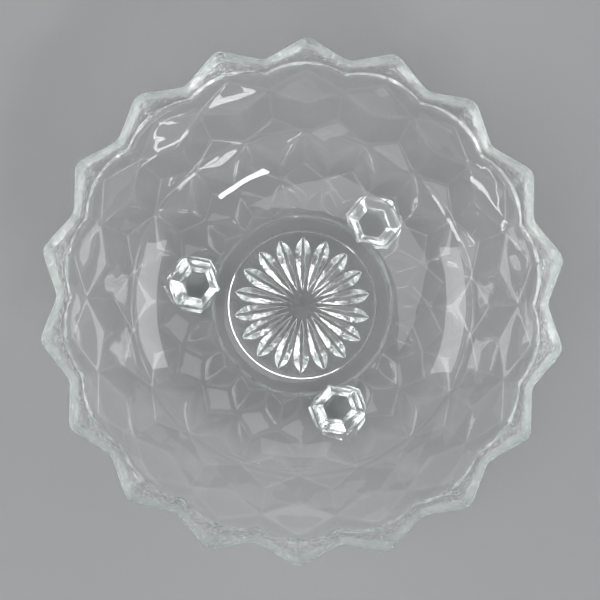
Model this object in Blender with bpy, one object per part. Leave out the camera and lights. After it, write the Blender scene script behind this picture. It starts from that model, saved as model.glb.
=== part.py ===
# A footed candy dish in clear pressed glass: a bowl whose wall is covered with tumbling blocks,
# a rim of eighteen points, a rayed base and three six-sided toes.
# It stands on z = 0 with its axis on Z. All sizes are in metres.

import math

import bmesh
import bpy
from mathutils import Matrix, Vector

# Bowl
POINT_COUNT = 18  # points of the rim, with a column of blocks under each
FIRST_POINT = math.radians(90)  # direction of one point
RIM_DIAMETER = 0.178  # across the tips of opposite points
WALL_SLOPE = math.radians(50)  # straight upper wall, from level
WALL_THICKNESS = 0.0042  # to the mean surface of the blocks
KNEE_RADIUS = 0.042  # inside bend between floor and wall
FLOOR_RADIUS = 0.030  # flat floor inside

# Tumbling blocks
BLOCK_EDGE = 0.0138  # upright edge of a block, down the wall
SHRINK_LEVEL = 3  # block edges below the tips where the rows start to shorten towards the base
ROW_SHRINK = 0.061  # block edges lost a row below that, growing with the square
BLOCK_RELIEF = 0.0015  # from the mean surface to a raised or a sunk corner
CYCLE = 3  # block edges after which a column of corners repeats
NOTCH_LAG = CYCLE / 2  # the columns under the notches start this much later
NOTCH_LEVEL = 0.5  # block edges from the tips down to the notches

# Rim
TIP_WIDTH = 0.0042  # top edge at a tip, inside to outside
FLARE_SLOPE = math.radians(38)  # flat inner faces of the points, from level
POINT_SHARPNESS = 0.92  # 1 is a sharp zigzag, and less rounds tips and notches
RIM_DEPTH = 0.0088  # from the tips to the seam under the rim

# Base
PANEL_INSET = 0.0018  # from the edge of the flat floor in to the floor panel
RING_REACH = 0.0016  # and out to the lower edge of the ring round the base
RING_BEVEL = 0.0018  # width of the ring's outer bevel, up to the blocks
RING_LAP = 0.0003  # how far the bevel runs on inside the wall
RING_STEP = 0.0001  # from a raised corner at the floor's edge down to the ring
RECESS_MARGIN = 0.0010  # from the panel's edge in to its sunk middle
RECESS_BEVEL = 0.0009  # width of the bevelled edge there
RECESS_DEPTH = 0.0009

# Rosette
PETAL_MARGIN = 0.0015  # from the recess's bevel in to the petals' outer ends
PETAL_HEEL = 0.0050  # inner end of a petal, from the axis
PETAL_SHOULDER = 0.52  # where it fills most of its share of the circle, from heel to tip
PETAL_SHARE = 0.90  # how much of it, there
PETAL_FULLNESS = 3  # a higher power keeps it full for longer
PETAL_SLOPE = math.radians(42)  # groove faces, from level
PETAL_DIP = 0.0001  # how far the groove cutters start below the surface

# Toes
TOE_COUNT = 3
FIRST_TOE = math.radians(50)  # under a point
TOE_SIDES = 6
TOE_TURN = math.radians(1)  # keeps the toes' corners off the block edges
TOE_REACH = 0.0108  # from the edge of the flat floor out to the middle of a toe
TOE_HEIGHT = 0.0108  # foot to the seam under the root
TOE_ROOT_RADIUS = 0.0098  # corner radii, from the root down
TOE_GIRDLE_RADIUS = 0.0104
TOE_ANKLE_RADIUS = 0.0076
TOE_FOOT_RADIUS = 0.0054
TOE_GIRDLE_DROP = 0.0026  # from the seam down to the widest ring
TOE_ANKLE_HEIGHT = 0.0024  # foot bevel
ROOT_DROP = 0.0005  # root below the ring round the base

# Fits, smoothness and glass
GAP = 0.0003  # between neighbouring solids
ROUND_STEPS = 108  # sides of a turned shape
KNEE_STEPS = 9
EDGE_STEPS = 16  # steps along each point's top edge
PETAL_STEPS = 5  # stations on each side of a petal's shoulder
OVERRUN = 0.018  # cutters reach this far past the glass
SMOOTH_ANGLE = math.radians(12)  # a bend below this is shaded as one round face
GLASS_IOR = 1.52

# Levels and lengths that follow from the sizes above
TIP_RADIUS = RIM_DIAMETER / 2
PANEL_RADIUS = FLOOR_RADIUS - PANEL_INSET
RING_RADIUS = FLOOR_RADIUS + RING_REACH
RECESS_RADIUS = PANEL_RADIUS - RECESS_MARGIN
PETAL_TIP = RECESS_RADIUS - RECESS_BEVEL - PETAL_MARGIN
PETAL_WIDEST = PETAL_HEEL + PETAL_SHOULDER * (PETAL_TIP - PETAL_HEEL)
TOE_CIRCLE = FLOOR_RADIUS + TOE_REACH
SEAT_Z = TOE_HEIGHT + GAP
BASE_Z = SEAT_Z + ROOT_DROP
RECESS_Z = BASE_Z + RECESS_DEPTH
FLOOR_Z = BASE_Z + RING_STEP + BLOCK_RELIEF + WALL_THICKNESS
KNEE_Z = FLOOR_Z + KNEE_RADIUS
OUTER_KNEE = KNEE_RADIUS + WALL_THICKNESS
CONE_LENGTH = (TIP_RADIUS - FLOOR_RADIUS - OUTER_KNEE * math.sin(WALL_SLOPE)) / math.cos(WALL_SLOPE)
TIP_Z = KNEE_Z - OUTER_KNEE * math.cos(WALL_SLOPE) + CONE_LENGTH * math.sin(WALL_SLOPE)
SEAM_Z = TIP_Z - RIM_DEPTH
TOP_LEVEL = -0.8  # the blank starts above the tips, counted in block edges
FOOT_RADIUS = RING_RADIUS + RING_BEVEL  # where the blocks meet the ring
FOOT_LEAN = math.asin((FOOT_RADIUS - RING_LAP - FLOOR_RADIUS) / OUTER_KNEE)
FOOT_ROWS = (CONE_LENGTH + OUTER_KNEE * (WALL_SLOPE - FOOT_LEAN)) / BLOCK_EDGE - SHRINK_LEVEL
# and ends where the shortening rows reach the ring
END_LEVEL = SHRINK_LEVEL + (1 - math.sqrt(max(0, 1 - 4 * ROW_SHRINK * FOOT_ROWS))) / (2 * ROW_SHRINK)
HALF_STEP = math.pi / ROUND_STEPS  # turned shapes keep off the lines of block corners
THIRD_STEP = HALF_STEP * 2 / 3  # and off each other's


def clear_scene():
    for obj in list(bpy.data.objects):
        bpy.data.objects.remove(obj, do_unlink=True)


def glass(name, colour, roughness):
    material = bpy.data.materials.new(name)
    material.use_nodes = True
    shader = material.node_tree.nodes["Principled BSDF"]
    shader.inputs["Base Color"].default_value = (*colour, 1)
    shader.inputs["Roughness"].default_value = roughness
    shader.inputs["Metallic"].default_value = 0
    shader.inputs["IOR"].default_value = GLASS_IOR
    shader.inputs["Transmission Weight"].default_value = 1
    return material


def new_object(name, mesh, material=None):
    obj = bpy.data.objects.new(name, mesh)
    bpy.context.scene.collection.objects.link(obj)
    if material:
        mesh.materials.append(material)
    return obj


def finished_mesh(name, bm):
    bmesh.ops.recalc_face_normals(bm, faces=bm.faces)
    mesh = bpy.data.meshes.new(name)
    bm.to_mesh(mesh)
    bm.free()
    return mesh


def cutter(mesh):
    obj = new_object(mesh.name, mesh)
    obj.hide_render = True
    obj.display_type = "WIRE"
    return obj


def boolean(obj, operation, other):
    modifier = obj.modifiers.new(f"{operation.lower()} {other.name}", "BOOLEAN")
    modifier.operation = operation
    modifier.solver = "EXACT"
    modifier.object = other


def settle(obj):
    # Applies the cuts, then shades the round faces smooth and leaves every real edge crisp.
    evaluated = obj.evaluated_get(bpy.context.evaluated_depsgraph_get())
    obj.data = bpy.data.meshes.new_from_object(evaluated)
    obj.modifiers.clear()
    obj.data.name = obj.name
    obj.data.shade_smooth()
    obj.data.set_sharp_from_angle(angle=SMOOTH_ANGLE)


def polar(radius, azimuth, z):
    return Vector((radius * math.cos(azimuth), radius * math.sin(azimuth), z))


def loft_mesh(name, sides, turn, rings, centre=(0, 0)):
    # Polygons of equal sides stacked from the bottom up, each given by its corner radius and height.
    bm = bmesh.new()
    middle = Vector((*centre, 0))
    loops = []
    for radius, z in rings:
        corners = (turn + k * math.tau / sides for k in range(sides))
        loops.append([bm.verts.new(middle + polar(radius, a, z)) for a in corners])
    for low, high in zip(loops, loops[1:]):
        for k in range(sides):
            after = (k + 1) % sides
            bm.faces.new((low[k], low[after], high[after], high[k]))
    bm.faces.new(reversed(loops[0]))
    bm.faces.new(loops[-1])
    return finished_mesh(name, bm)


# The wall's outer surface

def mean_wall(level):
    # Radius, height and outward direction of the mean surface, so many block edges below the tips.
    distance = (level - ROW_SHRINK * max(0, level - SHRINK_LEVEL) ** 2) * BLOCK_EDGE
    if distance <= CONE_LENGTH:
        out, down = math.sin(WALL_SLOPE), -math.cos(WALL_SLOPE)
        radius = TIP_RADIUS - distance * math.cos(WALL_SLOPE)
        return radius, TIP_Z - distance * math.sin(WALL_SLOPE), out, down
    lean = WALL_SLOPE - (distance - CONE_LENGTH) / OUTER_KNEE
    out, down = math.sin(lean), -math.cos(lean)
    return FLOOR_RADIUS + OUTER_KNEE * out, KNEE_Z + OUTER_KNEE * down, out, down


def relief(level, in_notch):
    # A column of corners runs mean, raised, sunk and again mean in each cycle.
    phase = level - NOTCH_LAG if in_notch else level
    if level >= END_LEVEL:
        return 0
    if phase < -1 or level < 0:
        return phase * BLOCK_RELIEF  # the top faces run on straight above the edge
    phase %= CYCLE
    if phase <= 1:
        return BLOCK_RELIEF * phase
    return BLOCK_RELIEF * (3 - 2 * phase if phase <= 2 else phase - CYCLE)


def wall_point(level, line):
    # Even lines run down from a point of the rim, and odd ones from a notch.
    radius, z, out, down = mean_wall(level)
    height = relief(level, line % 2 == 1)
    return polar(radius + height * out, FIRST_POINT + line * math.pi / POINT_COUNT, z + height * down)


def sloping_edges():
    # Levels that the sloping block edges join, on a line under a point and on the next under a notch.
    pairs = [(TOP_LEVEL, TOP_LEVEL)]
    start = 0
    while min(pairs[-1]) < END_LEVEL:
        for point, notch in ((0, 0.5), (1, 1.5), (2, 1.5), (3, 2.5)):
            pair = (min(start + point, END_LEVEL), min(start + notch, END_LEVEL))
            if pair != pairs[-1]:
                pairs.append(pair)
        start += CYCLE
    return pairs


def wall_blank():
    # A solid with the block faces outside. The top and the inside are cut away later.
    bm = bmesh.new()
    lines = 2 * POINT_COUNT
    corners = {}

    def corner(level, line):
        key = (round(level, 6), line % lines)
        if key not in corners:
            corners[key] = bm.verts.new(wall_point(level, key[1]))
        return corners[key]

    def lying_face(upper, side_level, lower, line):
        # A lying face spans three lines, and its middle is the mean of its four corners.
        around = [corner(upper, line), corner(side_level, line + 1)]
        around += [corner(lower, line), corner(side_level, line - 1)]
        middle = bm.verts.new(sum((v.co for v in around), Vector()) / len(around))
        for k, vert in enumerate(around):
            bm.faces.new((around[k - 1], vert, middle))

    edges = sloping_edges()
    for line in range(lines):
        own = line % 2
        for above, below in zip(edges, edges[1:]):
            if above[own] != below[own] and above[1 - own] == below[1 - own]:
                lying_face(above[own], above[1 - own], below[own], line)
            elif above[own] != below[own]:
                upright = [corner(above[own], line), corner(above[1 - own], line + 1)]
                upright += [corner(below[1 - own], line + 1), corner(below[own], line)]
                bm.faces.new(upright)

    rim_loop = [corner(TOP_LEVEL, line) for line in range(lines)]
    bm.faces.new(corner(END_LEVEL, line) for line in range(lines))
    peak = bm.verts.new((0, 0, rim_loop[0].co.z))
    for k, vert in enumerate(rim_loop):
        bm.faces.new((vert, rim_loop[k - 1], peak))
    return finished_mesh("wall blank", bm)


# Cutters

def plunger():
    # The smooth inside of the bowl, from the floor up past the tips.
    rings = []
    for k in range(KNEE_STEPS + 1):
        lean = WALL_SLOPE * k / KNEE_STEPS
        rings.append((FLOOR_RADIUS + KNEE_RADIUS * math.sin(lean), KNEE_Z - KNEE_RADIUS * math.cos(lean)))
    rise = TIP_Z + OVERRUN - rings[-1][1]
    rings.append((rings[-1][0] + rise / math.tan(WALL_SLOPE), TIP_Z + OVERRUN))
    return cutter(loft_mesh("plunger", ROUND_STEPS, HALF_STEP, rings))


def flare():
    # One flat face inside each point, at a lower slope than the wall.
    half = math.pi / POINT_COUNT
    rings = []
    for z in (SEAM_Z - RIM_DEPTH, TIP_Z + OVERRUN):
        flat = TIP_RADIUS - TIP_WIDTH - (TIP_Z - z) / math.tan(FLARE_SLOPE)
        rings.append((flat / math.cos(half), z))
    return cutter(loft_mesh("flare", POINT_COUNT, FIRST_POINT + half, rings))


def crown():
    # The air above the zigzag edge. Its lower face is level from inside to outside.
    notch_z = wall_point(NOTCH_LEVEL, 1).z
    middle, swing = (TIP_Z + notch_z) / 2, (TIP_Z - notch_z) / 2
    steps = POINT_COUNT * EDGE_STEPS
    bm = bmesh.new()
    slices = []
    for k in range(steps):
        turn = (k + 0.5) * math.tau / steps
        wave = math.asin(POINT_SHARPNESS * math.cos(POINT_COUNT * turn)) / math.asin(POINT_SHARPNESS)
        low, high = middle + wave * swing, TIP_Z + OVERRUN
        outer = TIP_RADIUS + OVERRUN
        section = ((FLOOR_RADIUS, low), (outer, low), (outer, high), (FLOOR_RADIUS, high))
        slices.append([bm.verts.new(polar(r, FIRST_POINT + turn, z)) for r, z in section])
    for k, second in enumerate(slices):
        first = slices[k - 1]
        for a in range(len(first)):
            bm.faces.new((first[a - 1], second[a - 1], second[a], first[a]))
    return cutter(finished_mesh("crown", bm))


def slab(name, low, high):
    corner = 2 * (TIP_RADIUS + OVERRUN)
    return cutter(loft_mesh(name, 4, 0, [(corner, low), (corner, high)]))


def petals():
    # Grooves of V section. The cutters start a little below the recess's floor and past its ends.
    past = 1 + PETAL_DIP / PETAL_TIP
    places = [past * (k / PETAL_STEPS - 1) for k in range(2 * PETAL_STEPS + 1)]
    low = RECESS_Z - PETAL_DIP
    rise = math.tan(PETAL_SLOPE)
    bm = bmesh.new()
    for petal in range(POINT_COUNT):
        turn = Matrix.Rotation(FIRST_POINT + petal * math.tau / POINT_COUNT, 3, "Z")
        sections = []
        for place in places:
            length = PETAL_WIDEST - PETAL_HEEL if place < 0 else PETAL_TIP - PETAL_WIDEST
            radius = PETAL_WIDEST + place * length
            share = PETAL_SHARE * (1 - abs(place) ** PETAL_FULLNESS)
            half = radius * share * math.pi / POINT_COUNT
            foot = half + PETAL_DIP / rise
            outline = ((foot, low), (0, RECESS_Z + half * rise), (-foot, low))
            sections.append([bm.verts.new(turn @ Vector((radius, side, z))) for side, z in outline])
        for first, second in zip(sections, sections[1:]):
            for a in range(len(first)):
                bm.faces.new((first[a - 1], first[a], second[a], second[a - 1]))
        bm.faces.new(sections[0])
        bm.faces.new(sections[-1])
    return cutter(finished_mesh("petals", bm))


# Pieces of the dish

def toe_places():
    for k in range(TOE_COUNT):
        azimuth = FIRST_TOE + k * math.tau / TOE_COUNT
        middle = polar(TOE_CIRCLE, azimuth, 0)
        yield azimuth + TOE_TURN, (middle.x, middle.y)


def make_bowl(blank, inside, flats, material):
    bowl = new_object("bowl", blank.copy(), material)
    lean = math.asin((FOOT_RADIUS - FLOOR_RADIUS) / OUTER_KNEE)
    rise = (KNEE_Z - OUTER_KNEE * math.cos(lean) - BASE_Z) / RING_BEVEL
    run = RING_BEVEL + RING_LAP
    ring = [(RING_RADIUS, BASE_Z), (RING_RADIUS + run, BASE_Z + run * rise)]
    ring.append((FLOOR_RADIUS, FLOOR_Z - WALL_THICKNESS / 2))
    for k, (turn, centre) in enumerate(toe_places(), 1):
        rings = [(TOE_ROOT_RADIUS, SEAT_Z), (TOE_ROOT_RADIUS, KNEE_Z - KNEE_RADIUS / 2)]
        boolean(bowl, "UNION", cutter(loft_mesh(f"root_{k}", TOE_SIDES, turn, rings, centre)))
    boolean(bowl, "UNION", cutter(loft_mesh("ring", ROUND_STEPS, THIRD_STEP, ring)))
    boolean(bowl, "DIFFERENCE", slab("above seam", SEAM_Z - GAP, TIP_Z + 2 * OVERRUN))
    boolean(bowl, "DIFFERENCE", inside)
    boolean(bowl, "DIFFERENCE", flats)
    bore = [(PANEL_RADIUS + GAP, BASE_Z - OVERRUN), (PANEL_RADIUS + GAP, FLOOR_Z + OVERRUN)]
    boolean(bowl, "DIFFERENCE", cutter(loft_mesh("bore", ROUND_STEPS, 0, bore)))
    settle(bowl)


def make_rim(blank, inside, flats, material):
    rim = new_object("rim", blank.copy(), material)
    boolean(rim, "DIFFERENCE", slab("below seam", -OVERRUN, SEAM_Z))
    boolean(rim, "DIFFERENCE", crown())
    boolean(rim, "DIFFERENCE", inside)
    boolean(rim, "DIFFERENCE", flats)
    settle(rim)


def make_base(material):
    panel = [(PANEL_RADIUS, BASE_Z), (PANEL_RADIUS, FLOOR_Z)]
    base = new_object("base", loft_mesh("base", ROUND_STEPS, 0, panel), material)
    recess = [(RECESS_RADIUS + RECESS_BEVEL, BASE_Z - RECESS_DEPTH), (RECESS_RADIUS - RECESS_BEVEL, RECESS_Z)]
    boolean(base, "DIFFERENCE", cutter(loft_mesh("recess", ROUND_STEPS, 0, recess)))
    boolean(base, "DIFFERENCE", petals())
    settle(base)


def make_toes(material):
    rings = [(TOE_FOOT_RADIUS, 0), (TOE_ANKLE_RADIUS, TOE_ANKLE_HEIGHT)]
    rings += [(TOE_GIRDLE_RADIUS, TOE_HEIGHT - TOE_GIRDLE_DROP), (TOE_ROOT_RADIUS, TOE_HEIGHT)]
    for k, (turn, centre) in enumerate(toe_places(), 1):
        toe = new_object(f"toe_{k}", loft_mesh(f"toe_{k}", TOE_SIDES, turn, rings), material)
        toe.location = (*centre, 0)


def main():
    clear_scene()
    blank = wall_blank()
    inside, flats = plunger(), flare()
    make_rim(blank, inside, flats, glass("rim glass", (0.90, 0.94, 0.92), 0.03))
    make_bowl(blank, inside, flats, glass("wall glass", (0.96, 0.98, 0.97), 0.02))
    make_base(glass("base glass", (0.96, 0.98, 0.97), 0.02))
    make_toes(glass("toe glass", (0.94, 0.97, 0.96), 0.04))


main()
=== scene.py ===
# Footed candy dish in clear pressed glass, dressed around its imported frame.
# One glass piece stands for all six solids, because the real dish is a single pressing.

import math

import bmesh
import bpy
import numpy as np
from mathutils import Matrix, Vector


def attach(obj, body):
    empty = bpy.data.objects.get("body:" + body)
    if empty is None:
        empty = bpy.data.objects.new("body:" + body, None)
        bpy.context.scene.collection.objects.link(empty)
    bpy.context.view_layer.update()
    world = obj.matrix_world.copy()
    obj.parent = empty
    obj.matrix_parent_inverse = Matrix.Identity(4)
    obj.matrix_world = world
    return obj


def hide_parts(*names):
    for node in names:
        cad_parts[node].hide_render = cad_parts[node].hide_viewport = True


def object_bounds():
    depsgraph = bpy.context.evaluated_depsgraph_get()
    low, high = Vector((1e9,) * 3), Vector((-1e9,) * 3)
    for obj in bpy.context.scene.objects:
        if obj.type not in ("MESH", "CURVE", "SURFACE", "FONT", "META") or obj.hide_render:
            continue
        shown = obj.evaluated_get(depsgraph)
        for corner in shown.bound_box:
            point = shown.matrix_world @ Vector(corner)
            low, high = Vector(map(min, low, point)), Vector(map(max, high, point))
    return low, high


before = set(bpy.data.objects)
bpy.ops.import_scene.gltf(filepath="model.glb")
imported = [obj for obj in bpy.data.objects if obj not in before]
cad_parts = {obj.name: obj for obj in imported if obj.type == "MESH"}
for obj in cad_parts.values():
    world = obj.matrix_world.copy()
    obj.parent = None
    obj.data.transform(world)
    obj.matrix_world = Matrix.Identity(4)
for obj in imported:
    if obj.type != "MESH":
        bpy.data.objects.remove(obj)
cadLow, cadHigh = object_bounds()
scene = bpy.context.scene
print("frame loaded:", ", ".join(sorted(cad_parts)))


# Camera: nearly straight down, a little from the front, as the photograph was taken
view = {
    "lookAt": (-0.0004, -0.0001, cadHigh.z),
    "distance": 0.500,
    "lean": math.radians(2.4),  # towards the front
    "roll": math.radians(1.0),
    "lens": 89.8,
    "sensor": 36,
    "clip": (0.01, 20),
}


def placeCamera():
    data = bpy.data.cameras.new("camera")
    data.lens = view["lens"]
    data.sensor_width = view["sensor"]
    data.clip_start, data.clip_end = view["clip"]
    camera = bpy.data.objects.new("camera", data)
    scene.collection.objects.link(camera)
    back = Vector((0, -math.sin(view["lean"]), math.cos(view["lean"])))
    camera.location = Vector(view["lookAt"]) + back * view["distance"]
    camera.rotation_euler = (view["lean"], 0, view["roll"])
    scene.camera = camera


placeCamera()
print("camera placed")


# Sizes of the dish, in metres, the main ones as in the part's source
bowl = {
    "points": 18,
    "firstPoint": math.radians(90),
    "tipRadius": 0.089,
    "slope": math.radians(50),
    "insideSlope": math.radians(50.5),  # the lip is a little thicker than the wall
    "thickness": 0.0042,
    "kneeRadius": 0.042,
    "floorRadius": 0.030,
    "floorRows": (0, 0.4, 0.8),  # shares of the floor's radius
    "kneeRows": 13,
    "coneRows": (0.35, 0.7, 0.92),  # shares of the way up to the crease
    "weld": 0.000002,
    "sharpFrom": math.radians(35),  # a bend below this is shaded as one round face
}
blocks = {
    "edge": 0.0138,
    "relief": 0.0015,
    "cycle": 3,
    "ladder": ((0, 0.5), (1, 1.5), (2, 1.5), (3, 2.5)),  # levels joined by the sloping edges
    "shrinkLevel": 3,  # the rows shorten below this one
    "shrink": 0.061,
    "round": 0.0008,  # reach of the rounding along the edges
    "disc": ((0.5, 6), (1, 12)),  # its circles of samples: share of the reach, and how many
}
rim = {
    "tipWidth": 0.0042,
    "flare": math.radians(38),
    "sharpness": 0.92,
    "notchLevel": 0.5,
    "outerRound": 0.0012,
    "outerSteps": 6,
    "innerRound": 0.0007,
    "innerSteps": 4,
    "bead": 0.00042,  # mould line along the crease under the points
    "beadReach": 0.0011,
    "beadRoom": 0.8,  # most of the flared face that it may take up
    "beadSteps": 4,  # rows on each side of its middle
    "flatShare": 0.085,  # narrow flat on the ridge under each tip
    "flatEnd": (0.55, 0.85),
}
base = {
    "ringReach": 0.0016,  # from the edge of the flat floor out to the ring's lower edge
    "ringBevel": 0.0018,
    "ringLap": 0.0003,
    "ringStep": 0.0001,
    "recessInset": 0.0028,
    "recessBevel": 0.0009,
    "recessDepth": 0.0009,
    "round": 0.0004,
    "roundSteps": 4,
}
rosette = {
    "margin": 0.0015,
    "heel": 0.0050,
    "shoulder": 0.52,
    "share": 0.90,
    "fullness": 3,
    "slope": math.radians(42),
    "crest": 0.0004,  # half width of the flat along a groove's middle
    "crestMost": 0.4,  # most of the groove's half width that the flat takes up
    "leastWidth": 0.0001,  # half width of the groove that counts at its ends
    # where a groove is sampled: outer end to heel, then over the flat, the slope and the glass beside it
    "places": (1, 0.985, 0.95, 0.88, 0.75, 0.55, 0.3, 0, -0.3, -0.55, -0.75, -0.88, -0.96, -1),
    "onFlat": (0, 0.6, 0.92),
    "onSlope": (0.08, 0.25, 0.5, 0.75, 0.93, 1),
    "beside": (0.06, 0.2, 0.4, 0.6, 0.8, 1),
}
toe = {
    "count": 3,
    "sides": 6,
    "first": math.radians(50),
    "turn": math.radians(1),
    "reach": 0.0108,
    "seamZ": 0.0111,
    "rings": ((0.0054, 0.0), (0.0076, 0.0024), (0.0104, 0.0082), (0.0098, 0.0108), (0.0098, 0.0300)),
    "round": 0.0005,
    "roundSteps": 3,
    "rootDrop": 0.0005,
}
# Trims the toes' tops off inside the glass, turned a little off the wall's own lines
trimmer = {"sides": 90, "turn": 0.01}
# How rough the pressed surfaces are, for the glass material
grain = {"topEdge": 1.0, "ridge": 0.8, "rosette": 0.22, "toe": 0.15}
# Where a half column of the wall is sampled, from the line under a tip to the line under a notch,
# and each of its faces from top to bottom, closer together by the edges
columns = np.array([0, 0.012, 0.026, 0.05, 0.075, 0.095, 0.13, 0.3, 0.5, 0.7, 0.88, 0.95, 0.974, 0.988, 1])
stations = np.array([0, 0.012, 0.026, 0.05, 0.12, 0.32, 0.5, 0.68, 0.88, 0.95, 0.974, 0.988, 1])
leastDepth = 1e-9  # of a face, in block edges, where it runs out into a corner
halvings = 40  # in the search for where the blocks meet the ring

baseZ = toe["seamZ"] + toe["rootDrop"]
floorZ = baseZ + base["ringStep"] + blocks["relief"] + bowl["thickness"]
kneeZ = floorZ + bowl["kneeRadius"]
outerKnee = bowl["kneeRadius"] + bowl["thickness"]
sinSlope, cosSlope = math.sin(bowl["slope"]), math.cos(bowl["slope"])
coneLength = (bowl["tipRadius"] - bowl["floorRadius"] - outerKnee * sinSlope) / cosSlope
tipZ = kneeZ - outerKnee * cosSlope + coneLength * sinSlope
halfPitch = math.pi / bowl["points"]
ringRadius = bowl["floorRadius"] + base["ringReach"]
recessRadius = bowl["floorRadius"] - base["recessInset"]
recessZ = baseZ + base["recessDepth"]


def leanAt(radius):
    return math.asin((radius - bowl["floorRadius"]) / outerKnee)


footRadius = ringRadius + base["ringBevel"]
ringRise = (kneeZ - outerKnee * math.cos(leanAt(footRadius)) - baseZ) / base["ringBevel"]
wallLength = coneLength + outerKnee * (bowl["slope"] - leanAt(footRadius - base["ringLap"]))
lastRows = wallLength / blocks["edge"] - blocks["shrinkLevel"]
shrinkRoot = math.sqrt(1 - 4 * blocks["shrink"] * lastRows)
endLevel = blocks["shrinkLevel"] + (1 - shrinkRoot) / (2 * blocks["shrink"])  # at the ring


# Outer wall: corners of the tumbling blocks
def blockCorner(level, side):
    # A corner so many block edges below the tips, on the line under a tip (side 0) or a notch (side 1)
    level = min(level, endLevel)
    distance = (level - blocks["shrink"] * max(0, level - blocks["shrinkLevel"]) ** 2) * blocks["edge"]
    lean = bowl["slope"]
    if distance <= coneLength:
        radius = bowl["tipRadius"] - distance * cosSlope
        z = tipZ - distance * sinSlope
    else:
        lean -= (distance - coneLength) / outerKnee
        radius = bowl["floorRadius"] + outerKnee * math.sin(lean)
        z = kneeZ - outerKnee * math.cos(lean)
    # in each cycle the height goes from 0 up to 1, down to -1 and back to 0
    phase = (level - side * blocks["cycle"] / 2) % blocks["cycle"]
    if phase <= 1:
        height = phase
    elif phase <= 2:
        height = 3 - 2 * phase
    else:
        height = phase - blocks["cycle"]
    height *= blocks["relief"] if level < endLevel else 0
    radius += height * math.sin(lean)
    azimuth = side * halfPitch
    return np.array((radius * math.cos(azimuth), radius * math.sin(azimuth), z - height * math.cos(lean)))


def mirrored(point, azimuth):
    c, s = math.cos(2 * azimuth), math.sin(2 * azimuth)
    return np.array((point[0] * c + point[1] * s, point[0] * s - point[1] * c, point[2]))


def saddle(upper, lower, near, far, f, v):
    # A lying face between its upper and lower corners, from its middle line (f = 0) to the near corner
    p, q = f + v * (1 - f), v * (1 - f)
    p, q = p[:, None], q[:, None]
    return (1 - p) * (1 - q) * upper + p * (1 - q) * near + (1 - p) * q * far + p * q * lower


def blockFace(above, below, f, v):
    # Points of the face between two sloping edges, at shares f across and v down
    tipAbove, notchAbove = blockCorner(above[0], 0), blockCorner(above[1], 1)
    tipBelow, notchBelow = blockCorner(below[0], 0), blockCorner(below[1], 1)
    if above[1] == below[1]:
        return saddle(tipAbove, tipBelow, notchAbove, mirrored(notchAbove, 0), f, v)
    if above[0] == below[0]:
        return saddle(notchAbove, notchBelow, tipAbove, mirrored(tipAbove, halfPitch), 1 - f, v)
    f, v = f[:, None], v[:, None]
    return (1 - v) * ((1 - f) * tipAbove + f * notchAbove) + v * ((1 - f) * tipBelow + f * notchBelow)


def slopingEdges():
    # Levels that the sloping edges join, from a tip line to a notch line, down to the ring
    edges, start = [], 0
    while start < endLevel:
        edges += [(start + a, start + b) for a, b in blocks["ladder"]]
        start += blocks["cycle"]
    return [(min(a, endLevel), min(b, endLevel)) for a, b in edges] + [(endLevel, endLevel)]


def facetedWall(edges, f, level):
    # Points at any share across from a tip line, also past the next notch line, and at any level
    folded = np.where(np.abs(f) > 1, 2 - np.abs(f), np.abs(f))
    points = np.zeros((len(f), 3))
    for k, (above, below) in enumerate(zip(edges, edges[1:])):
        top = above[0] + folded * (above[1] - above[0])
        deep = np.maximum(below[0] + folded * (below[1] - below[0]) - top, leastDepth)
        here = level >= top if k else np.full(len(f), True)
        v = np.minimum((level - top) / deep, 1)
        points[here] = blockFace(above, below, folded, v)[here]
        if k == 0:
            # narrow flat along the ridge under the tip
            side = blockFace(above, below, np.full_like(f, rim["flatShare"]), v)
            start, end = rim["flatEnd"]
            flat = np.where(folded < rim["flatShare"], np.clip((end - v) / (end - start), 0, 1), 0)
            points[:, ::2] += flat[:, None] * (side - points)[:, ::2]
    c, s = math.cos(2 * halfPitch), math.sin(2 * halfPitch)
    past = np.abs(f) > 1
    x, y = points[past, 0].copy(), points[past, 1].copy()
    points[past, 0], points[past, 1] = x * c + y * s, x * s - y * c
    points[f < 0, 1] *= -1
    return points


def outerWall(edges, k, f, v):
    # The faces of one row with their edges rounded, by the mean over a small disc round each point
    above, below = edges[k], edges[k + 1]
    top = above[0] + f * (above[1] - above[0])
    level = top + v * (below[0] + f * (below[1] - below[0]) - top)
    middle = facetedWall(edges, f, level)
    width = np.hypot(middle[:, 0], middle[:, 1]) * halfPitch
    length = blocks["edge"] * (1 - 2 * blocks["shrink"] * np.maximum(0, level - blocks["shrinkLevel"]))
    total, count = middle.copy(), 1
    for reach, steps in blocks["disc"]:
        for step in range(steps):
            turn = (step + 0.5) * math.tau / steps
            across = reach * blocks["round"] * math.cos(turn) / width
            down = reach * blocks["round"] * math.sin(turn) / length
            total += facetedWall(edges, f + across, level + down)
            count += 1
    return total / count


def bend(before, corner, after, steps):
    # Rounds a corner between two points on its sides, leaving out the first point
    rows = []
    for k in range(1, steps + 1):
        t = k / steps
        rows.append((1 - t) ** 2 * before + 2 * t * (1 - t) * corner + t * t * after)
    return rows


def towards(start, end, distance):
    way = end - start
    return start + way * (distance / np.linalg.norm(way, axis=1))[:, None]


def turned(radius, z, azimuth):
    radius, z = np.broadcast_to(radius, azimuth.shape), np.broadcast_to(z, azimuth.shape)
    return np.stack((radius * np.cos(azimuth), radius * np.sin(azimuth), z), axis=1)


def aboveRing(points):
    # Height over the line of the bevel round the base
    return points[:, 2] - baseZ - (np.hypot(points[:, 0], points[:, 1]) - ringRadius) * ringRise


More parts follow.
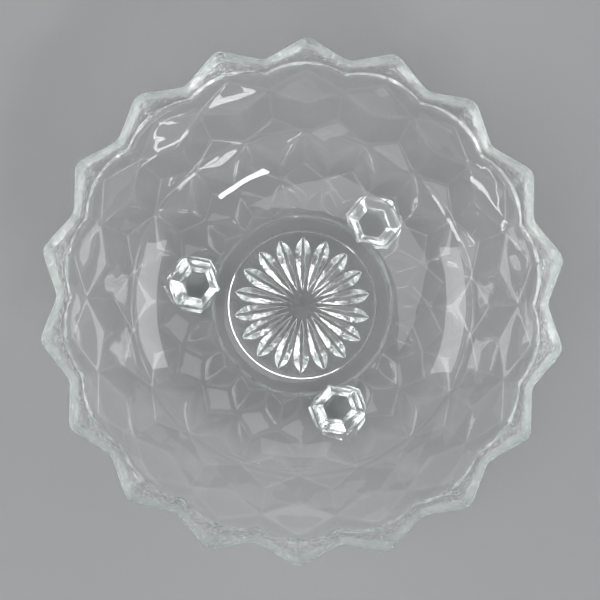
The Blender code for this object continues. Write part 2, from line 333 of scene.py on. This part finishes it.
def insideRows(azimuth, topZ):
    # Floor, knee and cone, the mould line along the crease, and the flat flared faces of the points
    flareRun, coneRun = 1 / math.tan(rim["flare"]), 1 / math.tan(bowl["insideSlope"])
    kneeR = bowl["floorRadius"] + bowl["kneeRadius"] * sinSlope
    kneeTop = kneeZ - bowl["kneeRadius"] * cosSlope
    flat = bowl["tipRadius"] - rim["tipWidth"] - tipZ * flareRun

    def flare(z):
        return turned((flat + z * flareRun) / np.cos(azimuth), z, azimuth)

    creaseZ = (flat / np.cos(azimuth) - kneeR + kneeTop * coneRun) / (coneRun - flareRun / np.cos(azimuth))
    crease, innerEdge = flare(creaseZ), flare(topZ)
    rows = [turned(share * bowl["floorRadius"], floorZ, azimuth) for share in bowl["floorRows"]]
    for lean in np.linspace(0, bowl["slope"], bowl["kneeRows"]):
        radius = bowl["floorRadius"] + bowl["kneeRadius"] * math.sin(lean)
        rows.append(turned(radius, kneeZ - bowl["kneeRadius"] * math.cos(lean), azimuth))
    coneStart = rows[-1]
    rows += [coneStart + (crease - coneStart) * share for share in bowl["coneRows"]]
    room = np.linalg.norm(innerEdge - crease, axis=1) - rim["innerRound"]
    reach = np.minimum(rim["beadReach"], rim["beadRoom"] * room)
    diagonal = math.sqrt(0.5)  # the bead stands off inwards and upwards alike
    lift = turned(-diagonal, diagonal, azimuth) * (rim["bead"] * reach / rim["beadReach"])[:, None]
    for step in range(-rim["beadSteps"], rim["beadSteps"] + 1):
        share = step / rim["beadSteps"]
        side = towards(crease, coneStart if share < 0 else innerEdge, abs(share) * reach)
        rows.append(side + lift * math.cos(share * math.pi / 2) ** 2)
    rows.append(towards(innerEdge, crease, rim["innerRound"]))
    return rows, innerEdge


def wedgeRows():
    # Rows of points over half a column: inside, rim, blocks, ring, recess and rosette
    edges = slopingEdges()
    f = columns
    zero = np.zeros_like(f)

    # top edge of the outside, where the zigzag crosses the uppermost faces
    upper, lower = outerWall(edges, 0, f, zero), outerWall(edges, 0, f, zero + 1)
    azimuth = np.arctan2(upper[:, 1], upper[:, 0])
    notchZ = blockCorner(rim["notchLevel"], 1)[2]
    wave = np.arcsin(rim["sharpness"] * np.cos(bowl["points"] * azimuth)) / math.asin(rim["sharpness"])
    topZ = (tipZ + notchZ) / 2 + wave * (tipZ - notchZ) / 2
    edgeV = (upper[:, 2] - topZ) / (upper[:, 2] - lower[:, 2])
    outerEdge = outerWall(edges, 0, f, edgeV)
    azimuth = np.arctan2(outerEdge[:, 1], outerEdge[:, 0])

    rows, innerEdge = insideRows(azimuth, topZ)
    firstTop = len(rows) - 1
    rows += bend(rows[-1], innerEdge, towards(innerEdge, outerEdge, rim["innerRound"]), rim["innerSteps"])
    rows.append(towards(outerEdge, innerEdge, rim["outerRound"]))
    startV = edgeV + rim["outerRound"] / blocks["edge"]
    rows += bend(rows[-1], outerEdge, outerWall(edges, 0, f, startV), rim["outerSteps"])
    lastTop = len(rows)
    across = np.zeros((len(rows), len(f)))
    for index in range(firstTop + 1, lastTop):
        across[index] = across[index - 1] + np.linalg.norm(rows[index] - rows[index - 1], axis=1)

    # outside: block faces, each column down to where it meets the ring's bevel
    crossed = np.zeros(len(f), bool)
    meeting = np.zeros((len(f), 3))
    for k, (above, below) in enumerate(zip(edges, edges[1:])):
        begin, finish = startV if k == 0 else zero, zero + 1
        crossing = ~crossed & (aboveRing(blockFace(above, below, f, finish)) > 0)
        if crossing.any():
            low, high = zero.copy(), zero + 1
            for _ in range(halvings):
                middle = (low + high) / 2
                outside = aboveRing(blockFace(above, below, f, middle)) < 0
                low, high = np.where(outside, middle, low), np.where(outside, high, middle)
            meeting[crossing] = blockFace(above, below, f, low)[crossing]
            finish = np.where(crossing, np.maximum(0, low - base["round"] / blocks["edge"]), finish)
        held = rows[-1]
        for share in stations[1:]:
            v = begin + (finish - begin) * share
            points = outerWall(edges, k, f, v)
            points[crossed] = held[crossed]
            rows.append(points)
        crossed |= crossing
        if crossed.all():
            break

    # ring and recess underneath
    azimuth = np.arctan2(meeting[:, 1], meeting[:, 0])
    ringEdge = turned(ringRadius, baseZ, azimuth)
    recessEdge = turned(recessRadius, baseZ, azimuth)
    recessFoot = turned(recessRadius - base["recessBevel"], recessZ, azimuth)
    inner = turned(recessRadius - 2 * base["recessBevel"], recessZ, azimuth)
    rows += bend(rows[-1], meeting, towards(meeting, ringEdge, base["round"]), base["roundSteps"])
    for before, corner, after in (
        (meeting, ringEdge, recessEdge),
        (ringEdge, recessEdge, recessFoot),
        (recessEdge, recessFoot, inner),
    ):
        rows.append(towards(corner, before, base["round"]))
        rows += bend(rows[-1], corner, towards(corner, after, base["round"]), base["roundSteps"])
    firstPetal = len(rows)
    rows += petalRows()
    rows.append(turned(0, recessZ, azimuth))
    rough = np.zeros((len(rows), len(f)))
    rough[firstTop:lastTop] = grain["topEdge"]
    ridge = np.clip((rim["flatEnd"][1] - stations[1:]) / (rim["flatEnd"][1] - rim["flatEnd"][0]), 0, 1)
    rough[lastTop:lastTop + len(ridge)] = grain["ridge"] * np.outer(ridge, f <= rim["flatShare"])
    rough[firstPetal:-1] = grain["rosette"]
    return rows, rough, across


def petalRows():
    # A groove of V section under each point, with a narrow flat along its middle
    tip = recessRadius - base["recessBevel"] - rosette["margin"]
    widest = rosette["heel"] + rosette["shoulder"] * (tip - rosette["heel"])
    onFlat, onSlope, beside = (np.array(rosette[name]) for name in ("onFlat", "onSlope", "beside"))
    rows = []
    for place in rosette["places"]:
        radius = widest + place * (tip - widest if place > 0 else widest - rosette["heel"])
        share = rosette["share"] * (1 - abs(place) ** rosette["fullness"])
        half = radius * share * halfPitch
        crest = min(rosette["crestMost"], rosette["crest"] / max(half, rosette["leastWidth"]))
        grid = np.concatenate((onFlat * crest, crest + onSlope * (1 - crest)))
        depth = half * (1 - np.maximum(grid, crest)) * math.tan(rosette["slope"])
        azimuth = halfPitch * np.concatenate((share * grid, share + (1 - share) * beside))
        rows.append(turned(radius, recessZ + np.concatenate((depth, 0 * beside)), azimuth))
    return rows


def wedgeMesh():
    # The rows and their mirror image make one point of the dish, open at both sides
    rows, rough, across = wedgeRows()
    wide = 2 * len(columns) - 1
    points = [np.concatenate((row[:0:-1] * (1, -1, 1), row)) for row in rows]
    faces = []
    for row in range(len(rows) - 1):
        for first in range(row * wide, row * wide + wide - 1):
            faces.append((first, first + wide, first + wide + 1, first + 1))
    mesh = bpy.data.meshes.new("wedge")
    mesh.from_pydata(np.concatenate(points).tolist(), [], faces)
    for name, half in (("grain", rough), ("across", across)):
        values = np.zeros((len(rows), wide))
        values[:len(half)] = np.concatenate((half[:, :0:-1], half), axis=1)
        mesh.attributes.new(name, "FLOAT", "POINT").data.foreach_set("value", values.ravel())
    return mesh


def link(name, mesh):
    obj = bpy.data.objects.new(name, mesh)
    scene.collection.objects.link(obj)
    return obj


def loftedMesh(name, sides, turn, rings, rounding=0):
    # Polygons stacked from the bottom up, with the edges below the top rounded
    bm = bmesh.new()
    loops = []
    for radius, z in rings:
        angles = (turn + k * math.tau / sides for k in range(sides))
        loops.append([bm.verts.new((radius * math.cos(a), radius * math.sin(a), z)) for a in angles])
    for low, high in zip(loops, loops[1:]):
        for k in range(sides):
            bm.faces.new((low[k - 1], low[k], high[k], high[k - 1]))
    bm.faces.new(reversed(loops[0]))
    bm.faces.new(loops[-1])
    if rounding:
        edges = [e for e in bm.edges if not all(v in loops[-1] for v in e.verts)]
        steps = toe["roundSteps"]
        bmesh.ops.bevel(bm, geom=edges, offset=rounding, segments=steps, profile=0.5, affect="EDGES")
    bmesh.ops.recalc_face_normals(bm, faces=bm.faces)
    mesh = bpy.data.meshes.new(name)
    bm.to_mesh(mesh)
    bm.free()
    return mesh


def toeMesh():
    mesh = loftedMesh("toe", toe["sides"], toe["turn"], toe["rings"], toe["round"])
    values = np.full(len(mesh.vertices), grain["toe"])
    mesh.attributes.new("grain", "FLOAT", "POINT").data.foreach_set("value", values)
    return mesh


def middleOfWall():
    # Everything above the middle of the glass, which keeps the toes' tops inside it
    reach = bowl["kneeRadius"] + bowl["thickness"] / 2
    leans = np.linspace(0, bowl["slope"], bowl["kneeRows"])
    rings = [(bowl["floorRadius"] + reach * math.sin(a), kneeZ - reach * math.cos(a)) for a in leans]
    return loftedMesh("middle of wall", trimmer["sides"], trimmer["turn"], rings)


def dishTree():
    # Turns the wedge into the whole dish and adds the toes
    tree = bpy.data.node_groups.new("press dish", "GeometryNodeTree")
    sockets = tree.interface
    sockets.new_socket("Geometry", in_out="INPUT", socket_type="NodeSocketGeometry")
    for name, kind in (
        ("Points", "NodeSocketInt"), ("First point", "NodeSocketFloat"), ("Weld", "NodeSocketFloat"),
        ("Toe", "NodeSocketObject"), ("Wall", "NodeSocketObject"),
        ("Toes", "NodeSocketInt"), ("First toe", "NodeSocketFloat"), ("Toe circle", "NodeSocketFloat"),
        ("Glass", "NodeSocketMaterial"),
    ):
        sockets.new_socket(name, in_out="INPUT", socket_type=kind)
    sockets.new_socket("Geometry", in_out="OUTPUT", socket_type="NodeSocketGeometry")
    nodes, links = tree.nodes, tree.links
    given = nodes.new("NodeGroupInput")

    def node(kind, **values):
        made = nodes.new(kind)
        for key, value in values.items():
            setattr(made, key, value)
        return made

    def ring(shape, countName, firstName, radiusName=None):
        # copies of a shape on a circle or round its own origin, each turned outwards
        line = node("GeometryNodeMeshLine")
        links.new(given.outputs[countName], line.inputs["Count"])
        line.inputs["Offset"].default_value = (0, 0, 0)
        points = node("GeometryNodeMeshToPoints")
        links.new(line.outputs["Mesh"], points.inputs["Mesh"])
        index = node("GeometryNodeInputIndex")
        step = node("ShaderNodeMath", operation="DIVIDE")
        step.inputs[0].default_value = math.tau
        links.new(given.outputs[countName], step.inputs[1])
        angle = node("ShaderNodeMath", operation="MULTIPLY_ADD")
        links.new(index.outputs["Index"], angle.inputs[0])
        links.new(step.outputs[0], angle.inputs[1])
        links.new(given.outputs[firstName], angle.inputs[2])
        spin = node("ShaderNodeCombineXYZ")
        links.new(angle.outputs[0], spin.inputs["Z"])
        if radiusName:
            out = node("ShaderNodeCombineXYZ")
            links.new(given.outputs[radiusName], out.inputs["X"])
            rotate = node("ShaderNodeVectorRotate", rotation_type="Z_AXIS")
            links.new(out.outputs[0], rotate.inputs["Vector"])
            links.new(angle.outputs[0], rotate.inputs["Angle"])
            move = node("GeometryNodeSetPosition")
            links.new(points.outputs[0], move.inputs["Geometry"])
            links.new(rotate.outputs[0], move.inputs["Position"])
            points = move
        copies = node("GeometryNodeInstanceOnPoints")
        links.new(points.outputs[0], copies.inputs["Points"])
        links.new(shape, copies.inputs["Instance"])
        links.new(spin.outputs[0], copies.inputs["Rotation"])
        whole = node("GeometryNodeRealizeInstances")
        links.new(copies.outputs[0], whole.inputs[0])
        return whole.outputs[0]

    wall = ring(given.outputs["Geometry"], "Points", "First point")
    weld = node("GeometryNodeMergeByDistance")
    links.new(wall, weld.inputs["Geometry"])
    links.new(given.outputs["Weld"], weld.inputs["Distance"])
    toeShape = node("GeometryNodeObjectInfo")
    links.new(given.outputs["Toe"], toeShape.inputs["Object"])
    middle = node("GeometryNodeObjectInfo")
    links.new(given.outputs["Wall"], middle.inputs["Object"])
    toes = ring(toeShape.outputs["Geometry"], "Toes", "First toe", "Toe circle")
    trim = node("GeometryNodeMeshBoolean", operation="DIFFERENCE", solver="MANIFOLD")
    links.new(toes, trim.inputs["Mesh 1"])
    links.new(middle.outputs["Geometry"], trim.inputs["Mesh 2"])
    join = node("GeometryNodeMeshBoolean", operation="UNION", solver="MANIFOLD")
    links.new(weld.outputs[0], join.inputs["Mesh 2"])
    links.new(trim.outputs["Mesh"], join.inputs["Mesh 2"])
    whole = node("GeometryNodeRealizeInstances")
    links.new(join.outputs["Mesh"], whole.inputs[0])
    finish = node("GeometryNodeSetMaterial")
    links.new(whole.outputs[0], finish.inputs["Geometry"])
    links.new(given.outputs["Glass"], finish.inputs["Material"])
    result = nodes.new("NodeGroupOutput")
    links.new(finish.outputs[0], result.inputs[0])
    return tree


def makeDish(material):
    dish = link("dish_glass", wedgeMesh())
    toeObject, wallObject = link("toe shape", toeMesh()), link("wall middle", middleOfWall())
    modifier = dish.modifiers.new("press dish", "NODES")
    modifier.node_group = dishTree()
    values = {
        "Points": bowl["points"], "First point": bowl["firstPoint"], "Weld": bowl["weld"],
        "Toe": toeObject, "Wall": wallObject, "Toes": toe["count"], "First toe": toe["first"],
        "Toe circle": bowl["floorRadius"] + toe["reach"], "Glass": material,
    }
    for item in modifier.node_group.interface.items_tree:
        if item.item_type == "SOCKET" and item.in_out == "INPUT" and item.name in values:
            modifier[item.identifier] = values[item.name]
    evaluated = dish.evaluated_get(bpy.context.evaluated_depsgraph_get())
    mesh = bpy.data.meshes.new_from_object(evaluated)
    dish.modifiers.clear()
    dish.data = mesh
    for helper in (toeObject, wallObject):
        bpy.data.objects.remove(helper)
    mesh.shade_smooth()
    mesh.set_sharp_from_angle(angle=bowl["sharpFrom"])
    print("dish pressed:", len(mesh.vertices), "points,", len(mesh.polygons), "faces")
    return dish


# Glass
glass = {
    "tint": (0.992, 0.998, 0.995, 1),
    "ior": 1.52,
    "depthColour": (0.78, 0.93, 0.88, 1),  # what long paths through the glass take on
    "depthDensity": 7,
    "polish": (0.002, 0.012),  # roughness of the smooth faces
    "frost": 0.08,  # added roughness where the grain is full
    "waveScale": 75,
    "waveHeight": 0.00016,
    "streaks": 28,  # how much finer the waves are across the top edge
    "waveRange": (0.3, 0.7),  # of the noise, spread over the polish
    "grainScale": 750,
    "grainHeight": 0.0005,
}


def surfaceGroup():
    # Roughness and normal of pressed glass: slow waves all over, and a fine grain where it is asked for
    group = bpy.data.node_groups.new("pressed surface", "ShaderNodeTree")
    for name in (
        "Grain", "Across", "Streaks", "Wave scale", "Wave height", "Grain scale", "Grain height",
        "Smoothest", "Dullest", "Frost",
    ):
        group.interface.new_socket(name, in_out="INPUT", socket_type="NodeSocketFloat")
    group.interface.new_socket("Roughness", in_out="OUTPUT", socket_type="NodeSocketFloat")
    group.interface.new_socket("Normal", in_out="OUTPUT", socket_type="NodeSocketVector")
    nodes, links = group.nodes, group.links
    given, result = nodes.new("NodeGroupInput"), nodes.new("NodeGroupOutput")
    place = nodes.new("ShaderNodeTexCoord")
    shift, along = nodes.new("ShaderNodeMath"), nodes.new("ShaderNodeVectorMath")
    shift.operation = "MULTIPLY"
    links.new(given.outputs["Across"], shift.inputs[0])
    links.new(given.outputs["Streaks"], shift.inputs[1])
    links.new(place.outputs["Object"], along.inputs[0])
    links.new(shift.outputs[0], along.inputs[1])  # drawn out along the top edge

    def noise(where, scale, detail):
        made = nodes.new("ShaderNodeTexNoise")
        made.inputs["Detail"].default_value = detail
        links.new(where, made.inputs["Vector"])
        links.new(given.outputs[scale], made.inputs["Scale"])
        return made.outputs["Fac"]

    def bump(height, distance, strength=None, below=None):
        made = nodes.new("ShaderNodeBump")
        links.new(height, made.inputs["Height"])
        links.new(given.outputs[distance], made.inputs["Distance"])
        if strength:
            links.new(given.outputs[strength], made.inputs["Strength"])
        else:
            made.inputs["Strength"].default_value = 1
        if below:
            links.new(below, made.inputs["Normal"])
        return made.outputs["Normal"]

    waves = noise(along.outputs[0], "Wave scale", detail=1)
    fine = noise(place.outputs["Object"], "Grain scale", detail=2)
    normal = bump(waves, "Wave height")
    normal = bump(fine, "Grain height", "Grain", normal)
    links.new(normal, result.inputs["Normal"])
    polish = nodes.new("ShaderNodeMapRange")
    links.new(waves, polish.inputs["Value"])
    polish.inputs["From Min"].default_value, polish.inputs["From Max"].default_value = glass["waveRange"]
    links.new(given.outputs["Smoothest"], polish.inputs["To Min"])
    links.new(given.outputs["Dullest"], polish.inputs["To Max"])
    dull = nodes.new("ShaderNodeMath")
    dull.operation = "MULTIPLY_ADD"
    links.new(given.outputs["Grain"], dull.inputs[0])
    links.new(given.outputs["Frost"], dull.inputs[1])
    links.new(polish.outputs["Result"], dull.inputs[2])
    links.new(dull.outputs[0], result.inputs["Roughness"])
    return group


def dressed(material, group, values, masks=()):
    # Adds the surface group to a material and joins it to the shader
    nodes, links = material.node_tree.nodes, material.node_tree.links
    shader = nodes["Principled BSDF"]
    finish = nodes.new("ShaderNodeGroup")
    finish.node_tree = group
    for name, value in values.items():
        finish.inputs[name].default_value = value
    for mask in masks:
        source = nodes.new("ShaderNodeAttribute")
        source.attribute_name = mask
        links.new(source.outputs["Fac"], finish.inputs[mask.capitalize()])
    links.new(finish.outputs["Roughness"], shader.inputs["Roughness"])
    links.new(finish.outputs["Normal"], shader.inputs["Normal"])


def makeGlass(group):
    material = bpy.data.materials.new("clear pressed glass")
    material.use_nodes = True
    nodes = material.node_tree.nodes
    shader = nodes["Principled BSDF"]
    shader.inputs["Base Color"].default_value = glass["tint"]
    shader.inputs["IOR"].default_value = glass["ior"]
    shader.inputs["Transmission Weight"].default_value = 1
    dressed(material, group, {
        "Wave scale": glass["waveScale"], "Wave height": glass["waveHeight"],
        "Grain scale": glass["grainScale"], "Grain height": glass["grainHeight"],
        "Smoothest": glass["polish"][0], "Dullest": glass["polish"][1], "Frost": glass["frost"],
        "Streaks": glass["streaks"],
    }, ("grain", "across"))
    depth = nodes.new("ShaderNodeVolumeAbsorption")
    depth.inputs["Color"].default_value = glass["depthColour"]
    depth.inputs["Density"].default_value = glass["depthDensity"]
    material.node_tree.links.new(depth.outputs[0], nodes["Material Output"].inputs["Volume"])
    return material


surface = surfaceGroup()
dish = makeDish(makeGlass(surface))
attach(dish, "root")
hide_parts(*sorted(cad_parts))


# Floor and light
floorLook = {
    "size": 4.4,
    "z": -0.0001,  # just clear of the toes, so that light passes out through their ends
    "colour": (0.34, 0.344, 0.35, 1),
    "shine": 0.03,
    "surface": {
        "Grain": 1, "Wave scale": 6, "Wave height": 0.0004, "Grain scale": 900, "Grain height": 0.00002,
        "Smoothest": 0.72, "Dullest": 0.86, "Frost": 0,
    },
}


def makeFloor(group):
    half = floorLook["size"] / 2
    corners = [(-half, -half), (half, -half), (half, half), (-half, half)]
    mesh = bpy.data.meshes.new("floor")
    mesh.from_pydata([(x, y, floorLook["z"]) for x, y in corners], [], [(0, 1, 2, 3)])
    floor = link("floor", mesh)
    material = bpy.data.materials.new("pale table")
    material.use_nodes = True
    shader = material.node_tree.nodes["Principled BSDF"]
    shader.inputs["Base Color"].default_value = floorLook["colour"]
    shader.inputs["Specular IOR Level"].default_value = floorLook["shine"]
    dressed(material, group, floorLook["surface"])
    mesh.materials.append(material)


studio = {
    "walls": (0.92, 0.922, 0.925, 1),
    "ceiling": (0.26, 0.264, 0.27, 1),
    "fade": (0.30, 0.62),  # sines of the heights where the walls end and the ceiling starts
}
lampDistance = 3.0
# Soft boxes: degrees round the dish from +X and above the table, size, turn in degrees and power
lamps = (
    {"name": "right window", "round": 4, "above": 22, "size": (2.45, 1.15), "turn": 0, "power": 32},
    {"name": "left window", "round": 176, "above": 24, "size": (2.45, 1.15), "turn": 0, "power": 32},
    {"name": "back window", "round": 88, "above": 30, "size": (1.20, 0.80), "turn": 0, "power": 3.5},
    {"name": "front tube", "round": -62, "above": 45, "size": (0.92, 0.25), "turn": 14, "power": 15.5},
    {"name": "low front lamp", "round": -47, "above": 7, "size": (0.80, 0.45), "turn": 0, "power": 17},
    {"name": "low side lamp", "round": -152, "above": 6, "size": (0.80, 0.45), "turn": 0, "power": 17},
    {"name": "top soft box", "round": -135, "above": 68, "size": (2.30, 1.90), "turn": 0, "power": 26},
)


def makeLight():
    for lamp in lamps:
        data = bpy.data.lights.new(lamp["name"], "AREA")
        data.shape = "RECTANGLE"
        data.size, data.size_y = lamp["size"]
        data.energy = lamp["power"]
        obj = bpy.data.objects.new(lamp["name"], data)
        scene.collection.objects.link(obj)
        around, above = math.radians(lamp["round"]), math.radians(lamp["above"])
        level = math.cos(above)
        way = Vector((math.cos(around) * level, math.sin(around) * level, math.sin(above)))
        obj.location = way * lampDistance
        spin = Matrix.Rotation(math.radians(lamp["turn"]), 4, "Z")
        obj.rotation_euler = ((-way).to_track_quat("-Z", "Y").to_matrix().to_4x4() @ spin).to_euler()
        obj.visible_camera = False


def makeStudio():
    # Pale walls all round under a darker ceiling
    world = bpy.data.worlds.new("studio")
    world.use_nodes = True
    nodes, links = world.node_tree.nodes, world.node_tree.links
    way, height = nodes.new("ShaderNodeTexCoord"), nodes.new("ShaderNodeSeparateXYZ")
    fade = nodes.new("ShaderNodeValToRGB")
    for step, place, name in zip(fade.color_ramp.elements, studio["fade"], ("walls", "ceiling")):
        step.position, step.color = place, studio[name]
    links.new(way.outputs["Generated"], height.inputs[0])
    links.new(height.outputs["Z"], fade.inputs["Fac"])
    links.new(fade.outputs["Color"], nodes["Background"].inputs["Color"])
    scene.world = world


bounces = {"all": 24, "glossy": 16, "through": 20}
makeFloor(surface)
makeLight()
makeStudio()
scene.view_settings.view_transform = "Standard"
scene.cycles.max_bounces = bounces["all"]
scene.cycles.glossy_bounces = bounces["glossy"]
scene.cycles.transmission_bounces = bounces["through"]
print("floor and light set")
